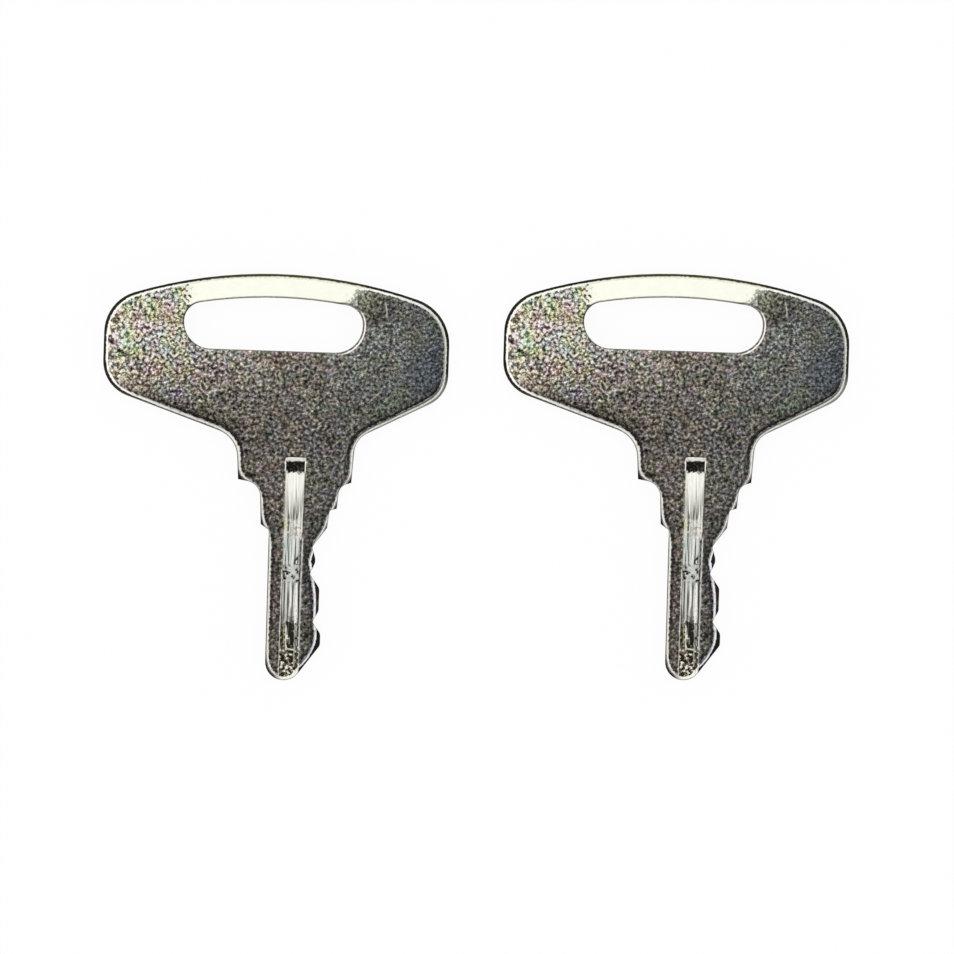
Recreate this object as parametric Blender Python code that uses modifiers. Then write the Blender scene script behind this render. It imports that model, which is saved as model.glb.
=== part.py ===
"""A pair of flat stamped switch keys that lie side by side on a table.

Each key is one stamped blank: a wide bow with a slot for a key ring, a short neck that ends in a
stop shoulder, a stepped collar, and a narrow blade with a cut edge and one milled groove.
A key is drawn about its own axis, X = 0, with its stop shoulder at Y = 0 and its back at Z = 0.
All lengths are in metres.
"""

import math

import bmesh
import bpy
from mathutils import Matrix, Vector

MM = 0.001

# The pair
KEY_GAP = 5.75 * MM  # clear space between the two bows
KEY_TURN = math.radians(-1.9)  # each key lies turned a little clockwise

# The blank
THICKNESS = 2.0 * MM
ROLLED_EDGE = 0.3 * MM  # round that the punch draws along every edge of the front

# The bow, seen from the front: left and right are measured from the key's axis
BOW_LEFT = 20.82 * MM
BOW_RIGHT = 16.0 * MM
CROWN_HEIGHT = 22.0 * MM  # stop shoulder to the top of the crown
CROWN_RADIUS = 49.7 * MM
CROWN_SHIFT = 2.35 * MM  # the crown's middle lies this far left of the axis
BOW_UPPER_CORNER_LEFT = 4.5 * MM
BOW_UPPER_CORNER_RIGHT = 5.0 * MM
BOW_LOWER_CORNER_LEFT = 3.9 * MM
BOW_LOWER_CORNER_RIGHT = 3.5 * MM
BOW_RISE_LEFT = math.radians(18.85)  # slope of the lower edge, from the neck out to the side
BOW_RISE_RIGHT = math.radians(27.0)

# The slot in the bow
RAIL = 2.54 * MM  # metal over the slot
CHEEK_LEFT = 8.48 * MM  # metal beside the slot
CHEEK_RIGHT = 9.28 * MM
SLOT_HEIGHT = 5.65 * MM
SLOT_UPPER_CORNER = 2.05 * MM
SLOT_LOWER_CORNER = 2.9 * MM

# The neck, down to the stop shoulder
NECK_LENGTH_LEFT = 4.49 * MM
NECK_LENGTH_RIGHT = 4.69 * MM
NECK_HALF_WIDTH = 6.04 * MM
NECK_FLARE = 0.3 * MM  # how much further out each side stands at the top of the neck
NECK_FILLET_LEFT = 3.1 * MM
NECK_FILLET_RIGHT = 2.4 * MM

# The collar under the shoulder: one step on the left, two on the right
STOP_DROP_LEFT = 0.38 * MM  # the shoulder's underside slopes down towards the collar
STOP_DROP_RIGHT = 0.45 * MM
COLLAR_LEFT = 3.69 * MM
COLLAR_RIGHT = 4.8 * MM
COLLAR_DRAFT = 0.22 * MM  # how much each side draws in towards its lower corner
COLLAR_FILLET_LEFT = 1.7 * MM
COLLAR_FILLET_RIGHT = 1.1 * MM
COLLAR_LENGTH_LEFT = 4.7 * MM
COLLAR_LENGTH_RIGHT = 2.8 * MM
COLLAR_RAMP_LEFT = 0.62 * MM  # height of the slope from the collar to the blade
LOWER_STEP_RIGHT = 3.84 * MM
LOWER_STEP_LENGTH = 2.1 * MM
LOWER_STEP_SLANT = 0.22 * MM

# The blade: the back edge is plain, the other edge is cut
BLADE_BACK = 2.58 * MM
BLADE_BACK_AT_TIP = 2.48 * MM
BLADE_BACK_FILLET = 0.25 * MM
TIP_RAMP = math.radians(53.5)  # slope from the tip up to the last tooth
TIP_RADIUS = 1.96 * MM

# The cut edge from the collar to the tip: one value for each notch, or for the tooth below it
NOTCH_REACH = (2.12 * MM, 1.97 * MM, 2.4 * MM)  # axis to the bottom of the notch
NOTCH_DROP = (2.05 * MM, 1.25 * MM, 1.2 * MM)  # length of the slope into the notch
NOTCH_RADIUS = 0.3 * MM
TOOTH_REACH = (2.48 * MM, 3.01 * MM, 3.27 * MM)  # axis to the top of the tooth
TOOTH_SLOPE = (1.25 * MM, 1.5 * MM, 1.25 * MM)  # length of the slope out to the tooth
TOOTH_LAND = (0.4 * MM, 2.4 * MM, 1.24 * MM)  # length of the tooth's top
TOOTH_RADIUS = 0.6 * MM

# The groove milled along the front, open at the tip
GROOVE_WIDTH = 2.0 * MM
GROOVE_DEPTH = 0.7 * MM
GROOVE_TOP = 2.4 * MM  # above the stop shoulder
GROOVE_SHIFT = 0.04 * MM  # its top end lies this far right of the axis
GROOVE_LEAN = math.radians(0.14)
CUTTER_RADIUS = 1.47 * MM  # round of the run-out at the top end
CUTTER_SPARE = 1.0 * MM  # how far the cutting shape stands clear of the blank

# How finely the outlines and their rounds are drawn
CHORD_ERROR = 0.01 * MM
WELD = 0.001 * MM
EDGE_STEPS = 3
FLAT_ANGLE = math.radians(0.1)  # faces that meet at less than this become one
CREASE_ANGLE = math.radians(30)  # edges sharper than this are shaded as edges
NICKEL_COLOUR = (0.47, 0.455, 0.42, 1.0)
NICKEL_ROUGHNESS = 0.32


def arc(centre, radius, start, end):
    """Points along an arc, both ends included, spaced by the chord error."""
    widest = 2 * math.acos(1 - CHORD_ERROR / radius)
    steps = max(2, math.ceil(abs(end - start) / widest))
    angles = [start + (end - start) * i / steps for i in range(steps + 1)]
    return [centre + radius * Vector((math.cos(a), math.sin(a))) for a in angles]


def turn_at(before, corner, after):
    """The signed angle that an outline turns by at a corner."""
    return -(corner - before).angle_signed(after - corner)


def rounded(corners):
    """Points along an open chain of (x, y, radius) corners, each round limited by its two edges."""
    points = [Vector(corner[:2]) for corner in corners]
    inner = range(1, len(points) - 1)
    turns = [0.0] + [turn_at(*points[i - 1 : i + 2]) for i in inner] + [0.0]
    cuts = [corner[2] * math.tan(abs(turn) / 2) for corner, turn in zip(corners, turns)]
    shares = [1.0] * len(points)
    for i in range(len(points) - 1):
        room = (points[i + 1] - points[i]).length
        share = min(1.0, room / max(cuts[i] + cuts[i + 1], WELD))
        shares[i] = min(shares[i], share)
        shares[i + 1] = min(shares[i + 1], share)
    path = [points[0]]
    for i in inner:
        radius = corners[i][2] * shares[i]
        if radius < CHORD_ERROR:
            path.append(points[i])
            continue
        along = (points[i] - points[i - 1]).normalized()
        side = Vector((-along.y, along.x)) * math.copysign(1, turns[i])
        centre = points[i] - along * cuts[i] * shares[i] + side * radius
        start = math.atan2(-side.y, -side.x)
        path += arc(centre, radius, start, start + turns[i])
    return path + [points[-1]]


def crowned_top(left, right, crown_radius, left_radius, right_radius):
    """The top of the bow or of its slot, from the right side over the crown to the left side."""
    crown = Vector((-CROWN_SHIFT, CROWN_HEIGHT - CROWN_RADIUS))

    def corner_centre(x, radius):
        across = x - crown.x
        return Vector((x, crown.y + math.sqrt((crown_radius - radius) ** 2 - across**2)))

    right_centre = corner_centre(right - right_radius, right_radius)
    left_centre = corner_centre(left + left_radius, left_radius)
    right_lean = math.atan2(*(right_centre - crown).yx)
    left_lean = math.atan2(*(left_centre - crown).yx)
    over_right = arc(right_centre, right_radius, 0, right_lean)
    over_crown = arc(crown, crown_radius, right_lean, left_lean)
    over_left = arc(left_centre, left_radius, left_lean, math.pi)
    return over_right + over_crown[1:-1] + over_left


def left_corners():
    """Corners down the plain side of the key, from under the bow to the blade."""
    neck_top = NECK_HALF_WIDTH + NECK_FLARE
    bow_corner = NECK_LENGTH_LEFT + (BOW_LEFT - neck_top) * math.tan(BOW_RISE_LEFT)
    return [
        (-BOW_LEFT, bow_corner, BOW_LOWER_CORNER_LEFT),
        (-neck_top, NECK_LENGTH_LEFT, NECK_FILLET_LEFT),
        (-NECK_HALF_WIDTH, 0, 0),
        (-COLLAR_LEFT, -STOP_DROP_LEFT, COLLAR_FILLET_LEFT),
        (-COLLAR_LEFT + COLLAR_DRAFT, -COLLAR_LENGTH_LEFT, 0),
        (-BLADE_BACK, -COLLAR_LENGTH_LEFT - COLLAR_RAMP_LEFT, BLADE_BACK_FILLET),
    ]


def right_corners():
    """Corners down the other side of the key, from under the bow to the collar's lower step."""
    neck_top = NECK_HALF_WIDTH + NECK_FLARE
    bow_corner = NECK_LENGTH_RIGHT + (BOW_RIGHT - neck_top) * math.tan(BOW_RISE_RIGHT)
    step_end = COLLAR_LENGTH_RIGHT + LOWER_STEP_LENGTH
    return [
        (BOW_RIGHT, bow_corner, BOW_LOWER_CORNER_RIGHT),
        (neck_top, NECK_LENGTH_RIGHT, NECK_FILLET_RIGHT),
        (NECK_HALF_WIDTH, 0, 0),
        (COLLAR_RIGHT, -STOP_DROP_RIGHT, COLLAR_FILLET_RIGHT),
        (COLLAR_RIGHT - COLLAR_DRAFT, -COLLAR_LENGTH_RIGHT, 0),
        (LOWER_STEP_RIGHT, -COLLAR_LENGTH_RIGHT - LOWER_STEP_SLANT, NOTCH_RADIUS),
        (LOWER_STEP_RIGHT - LOWER_STEP_SLANT, -step_end, 0),
    ]


def cut_corners():
    """Corners down the cut edge, from under the collar's lower step to the tip's ramp."""
    corners = []
    y = -COLLAR_LENGTH_RIGHT - LOWER_STEP_LENGTH
    notches = zip(NOTCH_REACH, NOTCH_DROP)
    teeth = zip(TOOTH_REACH, TOOTH_SLOPE, TOOTH_LAND)
    for (notch, drop), (tooth, slope, land) in zip(notches, teeth):
        y -= drop
        corners.append((notch, y, NOTCH_RADIUS))
        y -= slope
        corners.append((tooth, y, TOOTH_RADIUS))
        y -= land
        corners.append((tooth, y, TOOTH_RADIUS))
    return corners


def tip_corner(ramp_x, ramp_y):
    """The tip as one round corner, where the ramp's line from (ramp_x, ramp_y) meets the back."""
    drop = (ramp_x + BLADE_BACK_AT_TIP) * math.tan(TIP_RAMP)
    return (-BLADE_BACK_AT_TIP, ramp_y - drop, TIP_RADIUS)


def key_outline():
    top = crowned_top(
        -BOW_LEFT, BOW_RIGHT, CROWN_RADIUS, BOW_UPPER_CORNER_LEFT, BOW_UPPER_CORNER_RIGHT
    )
    right_side = right_corners() + cut_corners()
    tip = tip_corner(*right_side[-1][:2])
    corners = left_corners() + [tip] + right_side[::-1]
    return top + rounded([(*top[-1], 0)] + corners + [(*top[0], 0)])[1:-1]


def slot_outline():
    left = CHEEK_LEFT - BOW_LEFT
    right = BOW_RIGHT - CHEEK_RIGHT
    bottom = CROWN_HEIGHT - RAIL - SLOT_HEIGHT
    round_off = SLOT_UPPER_CORNER
    top = crowned_top(left, right, CROWN_RADIUS - RAIL, round_off, round_off)
    corners = [(left, bottom, SLOT_LOWER_CORNER), (right, bottom, SLOT_LOWER_CORNER)]
    return top + rounded([(*top[-1], 0)] + corners + [(*top[0], 0)])[1:-1]


def groove_side():
    """The groove's cutting shape seen from the side: along the key, and up from its back."""
    floor = THICKNESS - GROOVE_DEPTH
    swing = math.acos(1 - GROOVE_DEPTH / CUTTER_RADIUS)
    run_out = CUTTER_RADIUS * math.sin(swing)
    wheel = Vector((-run_out, floor + CUTTER_RADIUS))
    tip = min(point.y for point in key_outline())
    past_tip = tip - GROOVE_TOP - CUTTER_SPARE
    above = THICKNESS + CUTTER_SPARE
    ends = [Vector((0, above)), Vector((past_tip, above)), Vector((past_tip, floor))]
    return arc(wheel, CUTTER_RADIUS, -math.pi / 2, swing - math.pi / 2) + ends


def plate(name, loops, thickness, collection):
    """A flat plate as a mesh: a filled outline, with any inner loops as holes, centred on Z = 0."""
    curve = bpy.data.curves.new(name, "CURVE")
    curve.dimensions = "2D"
    curve.fill_mode = "BOTH"
    curve.extrude = thickness / 2
    for loop in loops:
        spline = curve.splines.new("POLY")
        spline.points.add(len(loop) - 1)
        spline.use_cyclic_u = True
        for point, place in zip(spline.points, loop):
            point.co = (*place, 0, 1)
    outline = bpy.data.objects.new(name, curve)
    collection.objects.link(outline)
    bpy.context.view_layer.update()
    graph = bpy.context.evaluated_depsgraph_get()
    mesh = bpy.data.meshes.new_from_object(outline.evaluated_get(graph))
    bpy.data.objects.remove(outline)
    bpy.data.curves.remove(curve)
    mesh.name = name
    return mesh


def key_blank(collection):
    """The stamped blank, with the edges of its front marked for the rolled edge."""
    mesh = plate("key_blank", [key_outline(), slot_outline()], THICKNESS, collection)
    shape = bmesh.new()
    shape.from_mesh(mesh)
    bmesh.ops.remove_doubles(shape, verts=shape.verts, dist=WELD)
    bmesh.ops.dissolve_limit(
        shape, angle_limit=FLAT_ANGLE, verts=shape.verts, edges=shape.edges
    )
    bmesh.ops.translate(shape, verts=shape.verts, vec=(0, 0, THICKNESS / 2))
    bmesh.ops.recalc_face_normals(shape, faces=shape.faces)
    rolled = shape.edges.layers.float.new("bevel_weight_edge")
    for edge in shape.edges:
        on_front = all(vert.co.z > THICKNESS - WELD for vert in edge.verts)
        if on_front and edge.calc_face_angle(0) > CREASE_ANGLE:
            edge[rolled] = 1.0
    shape.to_mesh(mesh)
    shape.free()
    mesh.shade_smooth()
    mesh.set_sharp_from_angle(angle=CREASE_ANGLE)
    return mesh


def groove_cutter(collection):
    """The milling cut, with its top end at the origin and its length along -Y."""
    mesh = plate("groove_cut", [groove_side()], GROOVE_WIDTH, collection)
    stand_up = Matrix(((0, 0, 1, 0), (1, 0, 0, 0), (0, 1, 0, 0), (0, 0, 0, 1)))
    shape = bmesh.new()
    shape.from_mesh(mesh)
    bmesh.ops.remove_doubles(shape, verts=shape.verts, dist=WELD)
    bmesh.ops.transform(shape, matrix=stand_up, verts=shape.verts)
    bmesh.ops.recalc_face_normals(shape, faces=shape.faces)
    shape.to_mesh(mesh)
    shape.free()
    return mesh


def nickel():
    material = bpy.data.materials.new("nickel_plate")
    material.use_nodes = True
    shader = material.node_tree.nodes["Principled BSDF"]
    shader.inputs["Base Color"].default_value = NICKEL_COLOUR
    shader.inputs["Metallic"].default_value = 1.0
    shader.inputs["Roughness"].default_value = NICKEL_ROUGHNESS
    return material


def footprint():
    """The lowest and highest corners of one turned key, seen from above."""
    turn = Matrix.Rotation(KEY_TURN, 2)
    points = [turn @ point for point in key_outline()]
    low = Vector((min(p.x for p in points), min(p.y for p in points)))
    high = Vector((max(p.x for p in points), max(p.y for p in points)))
    return low, high


def add_key(name, place, blank, groove, parts, cutters):
    key = bpy.data.objects.new(name, blank)
    key.location = place
    key.rotation_euler.z = KEY_TURN
    parts.objects.link(key)

    cutter = bpy.data.objects.new(name + "_groove_cut", groove)
    cutter.parent = key
    cutter.location = (GROOVE_SHIFT, GROOVE_TOP, 0)
    cutter.rotation_euler.z = -GROOVE_LEAN
    cutter.hide_render = True
    cutter.display_type = "WIRE"
    cutters.objects.link(cutter)

    roll = key.modifiers.new("rolled_edge", "BEVEL")
    roll.limit_method = "WEIGHT"
    roll.width = ROLLED_EDGE
    roll.segments = EDGE_STEPS

    cut = key.modifiers.new("groove", "BOOLEAN")
    cut.operation = "DIFFERENCE"
    cut.object = cutter


def new_collection(name):
    collection = bpy.data.collections.new(name)
    bpy.context.scene.collection.children.link(collection)
    return collection


def main():
    for old in list(bpy.data.objects):
        bpy.data.objects.remove(old)
    parts = new_collection("switch_keys")
    cutters = new_collection("cutters")
    blank = key_blank(parts)
    blank.materials.append(nickel())
    groove = groove_cutter(cutters)
    low, high = footprint()
    pitch = high.x - low.x + KEY_GAP
    middle = (low + high) / 2
    for name, side in (("left_key", -1), ("right_key", 1)):
        place = (side * pitch / 2 - middle.x, -middle.y, 0)
        add_key(name, place, blank, groove, parts, cutters)


main()
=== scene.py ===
"""Two flat nickel-plated switch keys, side by side on a white floor, seen from straight above.

A key is drawn about its own axis in millimetres: X = 0 on the blade's axis, Y = 0 at the stop
shoulder, Z = 0 at its back. The outline comes from the key's own solid.
"""

import math
from statistics import NormalDist

import bmesh
import bpy
import numpy as np
from mathutils import Matrix, Vector, noise
from mathutils.geometry import delaunay_2d_cdt
from mathutils.kdtree import KDTree


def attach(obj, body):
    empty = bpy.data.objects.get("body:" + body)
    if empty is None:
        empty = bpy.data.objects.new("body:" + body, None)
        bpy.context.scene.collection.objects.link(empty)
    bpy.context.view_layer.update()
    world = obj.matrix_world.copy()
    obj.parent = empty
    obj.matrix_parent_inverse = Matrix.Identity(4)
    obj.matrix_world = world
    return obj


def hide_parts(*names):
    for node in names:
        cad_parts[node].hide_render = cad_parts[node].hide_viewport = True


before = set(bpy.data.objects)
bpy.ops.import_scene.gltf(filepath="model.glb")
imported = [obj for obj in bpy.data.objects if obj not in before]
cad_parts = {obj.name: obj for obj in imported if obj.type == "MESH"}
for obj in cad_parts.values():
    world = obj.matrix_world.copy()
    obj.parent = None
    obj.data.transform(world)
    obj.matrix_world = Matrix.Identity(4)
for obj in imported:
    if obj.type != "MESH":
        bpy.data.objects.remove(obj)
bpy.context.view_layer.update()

MM = 0.001
PHOTO_WIDTH = 101.7 * MM
PHOTO_CENTRE = (0.08 * MM, 0.0)
CAMERA_HEIGHT = 0.5

# Where each key's axis crosses its stop shoulder, and how far the keys lie turned
KEY_TURN = math.radians(-1.9)
KEY_PLACE = {"left_key": (-19.3622, -0.4279), "right_key": (23.2783, -0.4279)}

THICKNESS = 2.0
EDGE_STEP = 0.14  # spacing of points along an edge
FACE_STEP = 0.42  # spacing of points on the open face
EDGE_CLEAR, SLOT_CLEAR, GROOVE_CLEAR = 0.9, 0.75, 0.45  # how far that open grid keeps from each edge
CLOSEST = 0.055  # points nearer each other than about this are left out
EDGE_GAP, GROOVE_GAP = 0.05, 0.035  # and so are those nearer an edge than this
MEASURE_STEP = 0.02  # spacing of the points that distances to an edge are taken from

# The edge that the punch rolled over: deep at sharp corners, gone in the notches
ROLL_WIDTH = 0.51
SLOPE_ROLL_WIDTH = 0.5  # under the bow's lobes
LOW_ROLL_WIDTH = 0.35  # from the neck down
TOOTH_ROLL_WIDTH = 0.52
# (middle, half length, extra roll) down the cut edge, and (start, end, extra roll) at the tip
TOOTH_WEAR = ((-8.4, 1.1, 0.16), (-12.4, 2.2, 0.06), (-16.4, 1.8, -0.06), (-19.4, 2.0, -0.06))
TIP_WEAR = (-17.5, -20.0, 0.06)
ROLL_RADIUS = 0.6
ROLL_STEEPEST = math.radians(52)
ROLL_DEEPEST = 0.95
CORNER_EASE = 0.75
TOOTH_EASE = 1.3
# Where one kind of edge eases into the next
LOW_EDGE = (7.0, 9.5)
LOW_EDGE_BEND = 4.0  # right of here the thin lower edge reaches further up the bow
LOW_EDGE_RISE = 0.25
NECK = (1.5, 3.5)
CUT_EDGE_TOP = (-7.4, -6.0)
CUT_EDGE_LEFT = (0.2, 1.0)
# The cells that the eased outline is worked out on, and a finer grid at each deeply rolled corner
EASE_CELL = 0.06
CORNER_STEP = 0.13
CORNER_REACH = 6  # steps
CORNER_CLEAR = 0.5
DEEP_ROLL = 0.08  # how much deeper than the plain roll counts as deep
FLAT_MARGIN = 0.2  # how far the finer grid runs on over the flat
# Rings of points inside the edges
ROLL_RINGS = (0.06, 0.12, 0.18, 0.25, 0.32, 0.39, 0.46, 0.54, 0.66)
SLOT_ROLL = (0.16, 0.36)  # on most of the slot's edge, and at its right end
SLOT_RIGHT = (3.0, 5.5)
SLOT_RINGS = (0.06, 0.12, 0.18, 0.24, 0.3, 0.37, 0.47, 0.62)

# The sheared wall under it
WALL_ROWS = (0.95, 0.86, 0.45, 0.07)
WALL_INSET = (0.0, 0.03, 0.045, 0.05)
BACK_INSET = 0.11
BACK_STEP = 1.6
BACK_CLEAR = 0.6
SHARP = math.radians(30)
SLIVER = 1e-5  # a triangle smaller than this joins three points of one straight edge
POINTS_AT_ONCE = 2000  # that are sorted into metal and air

# The rail over the slot leans back, and the two lobes droop a little
CROWN = (-2.35, -27.7)
CROWN_RADIUS = 49.7
RAIL = 2.54
RAIL_LEAN = math.radians(6.5)
RAIL_ENDS = ((-14.4, -11.0), (5.6, 9.6))
LOBE_START = (-7.0, 5.0)
LOBE_DROOP = (0.0017, 0.0014)
BOW_BOTTOM = 4.0

# The milled groove
GROOVE_WIDTH = 2.0
GROOVE_DEPTH = 0.7
GROOVE_TOP = Vector((0.04, 2.4))
GROOVE_LEAN = math.radians(0.14)
GROOVE_END = 25.0
GROOVE_CORNER = 0.14
GROOVE_STEP = 0.125  # across the floor
GROOVE_ROW = 0.25  # along it
GROOVE_ROWS_END = 24
RUN_OUT = 1.25
RUN_OUT_ROWS = (0.08, 0.1)  # the first row, and from each row to the next
CUTTER_RADIUS = 1.47
LIP_WIDTH = 0.15
LIP_DROP = 0.07
LIP_RINGS = (0.05, 0.1, 0.16, 0.3)
RIDGE_HEIGHT = 0.03
TORN_HEIGHT = 0.14
TORN_START = (16.2, 18.5)
FLOOR_CLEAR = 0.16  # the torn floor stays at least this far under the front

# Marks of use: (middle, half size, tint) of a stain, and (start, end, half width, share) of a scratch
STAINS = (
    ((7.9, 18.9), (2.4, 2.2), (0.3, 0.29, 0.17)),
    ((13.6, 12.2), (3.0, 3.0), (0.21, 0.25, 0.3)),
    ((-12.8, 8.8), (1.6, 1.1), (0.33, 0.29, 0.42)),
    ((-17.3, 8.9), (3.0, 2.0), (0.38, 0.3, 0.25)),
)
SCRATCHES = (
    ((9.07, 19.4), (9.24, 17.7), 0.12, 0.6),
    ((7.6, 8.6), (8.9, 9.9), 0.1, 0.4),
    ((2.2, 5.75), (2.6, 6.0), 0.14, 0.6),
    ((-19.9, 11.8), (-16.6, 8.9), 0.08, 0.35),
)

# The same in the groove, as (across, along): painted glints of reflected light, and lines of (points, half
# width, tint), the pale ones painted highlights
GLINTS = (
    ((-0.86, 9.3), (0.16, 0.45), (0.42, 0.72, 0.68)),
    ((-0.92, 7.1), (0.22, 0.35), (0.8, 0.79, 0.34)),
)
GROOVE_LINES = (
    (((0.86, 8.6), (0.86, 22.6)), 0.11, (0.05, 0.05, 0.045)),
    (((0.55, 13.2), (0.55, 17.6)), 0.12, (0.95, 0.94, 0.88)),
    (((0.55, 17.6), (0.55, 22.2)), 0.1, (0.42, 0.4, 0.32)),
    (((-0.73, 18.0), (-0.73, 20.2)), 0.1, (0.05, 0.05, 0.02)),
    (((-0.41, 17.8), (-0.41, 19.9), (-0.2, 20.3), (0.5, 20.4)), 0.09, (0.75, 0.73, 0.62)),
    (((0.25, 11.3), (0.33, 10.85), (0.7, 10.42)), 0.18, (0.02, 0.018, 0.015)),
)

# The plate: sizes of its grain and blotches, and its colours, paler on the left lobe as painted light and
# greyer and cooler to the right as painted shade
GRAIN, MOTTLE, HUE, CLOUD = 0.32, 1.3, 1.5, 5.0
LIT_LOBE_PLATE = (0.508, 0.488, 0.38)  # left lobe, painted light
WARM_PLATE = (0.264, 0.233, 0.204)
SHADED_PLATE = (0.203, 0.211, 0.191)
DEEP_SHADED_PLATE = (0.147, 0.162, 0.163)  # far right, painted deeper shade
# How far red, green and blue stray from them: everywhere, and more on the left lobe
TINGE = ((0.06, 0.07), (0.06, 0.07), (0.1, 0.1))
PLATE_ROUGHNESS = 0.2
PLATE_RELIEF = 0.02

# Painted highlights: pale colours laid where the metal catches light, and on bare scratches
RAIL_HIGHLIGHT = (0.825, 0.825, 0.72)
BARE_METAL_AND_HIGHLIGHT = (0.85, 0.84, 0.78)
LIP_HIGHLIGHT = (0.8, 0.79, 0.74)
ROLL_HIGHLIGHT = (0.9, 0.89, 0.82)
RAIL_ROLL_HIGHLIGHT = (0.68, 0.68, 0.58)
DULL_ROLL_HIGHLIGHT = (0.64, 0.63, 0.58)
TOOTH_HIGHLIGHT = (0.7, 0.73, 0.75)
TIP_HIGHLIGHT = (0.9, 0.89, 0.83)

# Painted shade: dark lines along the edges and on the unlit feet of the rolled edges; the near-black one
# also darkens marks in the groove
INNER_SHADE_LINE = (0.02, 0.018, 0.015)
RIM_SHADE_LINE = (0.17, 0.165, 0.15)
SLOT_SHADE_LINE = (0.13, 0.125, 0.115)
GROOVE_RIM_SHADE = (0.2, 0.2, 0.19)
LIP_SHADOW = (0.035, 0.032, 0.024)
NEAR_BLACK = (0.02, 0.018, 0.014)
CROWN_EDGE_SHADE = (0.075, 0.058, 0.022)
LOW_EDGE_SHADE = ((0.12, 0.115, 0.105), (0.22, 0.215, 0.2))  # left and right of the blade's axis
CORNER_SHADE = (0.008, 0.006, 0.005)
TOOTH_BROWN_SHADE = (0.08, 0.045, 0.035)

# The sheared wall
BROKEN_METAL = (0.3, 0.285, 0.255)
BURNISHED_METAL = (0.46, 0.445, 0.4)
WALL_RELIEF = 0.03

# The groove's floor: tool streaks whose pale tones are painted reflection
STREAKS = ((0.14, 0.145, 0.125), (0.76, 0.765, 0.71))
STREAK_REFLECTION = (0.97, 0.965, 0.91)
GLARE_WHITE = (1.0, 0.99, 0.92)
BLOTCH_CREAM = (0.95, 0.85, 0.72)
GAP_GREY = (0.2, 0.2, 0.15)
COOL_TINGE = (0.5, 0.62, 0.6)
CHATTER_NET, CHATTER_CELL = (0.68, 0.69, 0.65), (0.32, 0.33, 0.31)
CORE_GREY = (0.3, 0.28, 0.22)
SIDE_STREAKS = ((0.03, 0.03, 0.014), (0.42, 0.4, 0.28))
CRUMB_RUST, CRUMB_GLINT = (0.23, 0.17, 0.12), (0.82, 0.82, 0.68)
POCKET_SHADE = (0.03, 0.028, 0.022)
GROOVE_RELIEF = 0.05

# Light: its level in a dim patch overhead, outside that patch, and how much less comes from low down
DIM_PATCH = (0.18, -0.285, 1.0)
DIM_LEVEL, OPEN_LEVEL, LOW_LOSS = 0.15, 1.25, 0.35

# The floor's half width in metres, its drop under the keys in millimetres, its shade and its glow
FLOOR_HALF = 2.0
FLOOR_DROP = 0.02
FLOOR_SHADE = 0.9
FLOOR_GLOW = 0.94


def smooth(low, high, value):
    """0 at low and beyond it, 1 at high and beyond it, eased between them."""
    t = min(1.0, max(0.0, (value - low) / (high - low)))
    return t * t * (3 - 2 * t)


# Outlines


def back_loops(node, place):
    """The closed loops round the flat back of a key's solid, about the key's own axis."""
    to_key = Matrix.Rotation(-KEY_TURN, 3, "Z")
    solid = bmesh.new()
    solid.from_mesh(node.data)
    bmesh.ops.transform(solid, matrix=node.matrix_world, verts=solid.verts)
    bmesh.ops.remove_doubles(solid, verts=solid.verts, dist=1e-6)
    back = {face for face in solid.faces if face.normal.z < -0.99}
    links = {}
    for edge in solid.edges:
        if sum(face in back for face in edge.link_faces) == 1:
            for vert in edge.verts:
                links.setdefault(vert, []).append(edge.other_vert(vert))
    loops = []
    while links:
        loop = [next(iter(links))]
        while True:
            onward = [vert for vert in links.pop(loop[-1]) if vert in links]
            if not onward:
                break
            loop.append(onward[0])
        points = [to_key @ (vert.co / MM - Vector((*place, 0))) for vert in loop]
        loops.append([point.to_2d() for point in points])
    solid.free()
    return loops


def area(loop):
    """The area inside a loop, negative if it runs clockwise."""
    return sum(a.cross(b) for a, b in zip(loop, loop[1:] + loop[:1])) / 2


def outline_and_slot(node, place):
    """The outer loop anticlockwise and the slot clockwise, so that metal lies to the left of both."""
    loops = sorted(back_loops(node, place), key=lambda loop: -abs(area(loop)))
    outline, slot = loops
    if area(outline) < 0:
        outline = outline[::-1]
    if area(slot) > 0:
        slot = slot[::-1]
    return outline, slot


def spaced(loop, step):
    """The loop with points added so that none are further apart than the step."""
    points = []
    for a, b in zip(loop, loop[1:] + loop[:1]):
        count = max(1, math.ceil((b - a).length / step))
        points += [a.lerp(b, i / count) for i in range(count)]
    return points


def normals(loop):
    """The direction into the metal at each point of a loop."""
    inward = []
    for before, point, after in zip(loop[-1:] + loop[:-1], loop, loop[1:] + loop[:1]):
        along = (point - before).normalized() + (after - point).normalized()
        inward.append(Vector((-along.y, along.x)).normalized())
    return inward


def tree_of(points):
    tree = KDTree(len(points))
    for i, point in enumerate(points):
        tree.insert((point.x, point.y, 0), i)
    tree.balance()
    return tree


def away(tree, point):
    """How far a point lies from the nearest point in a tree."""
    return tree.find((point.x, point.y, 0))[2]


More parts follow.
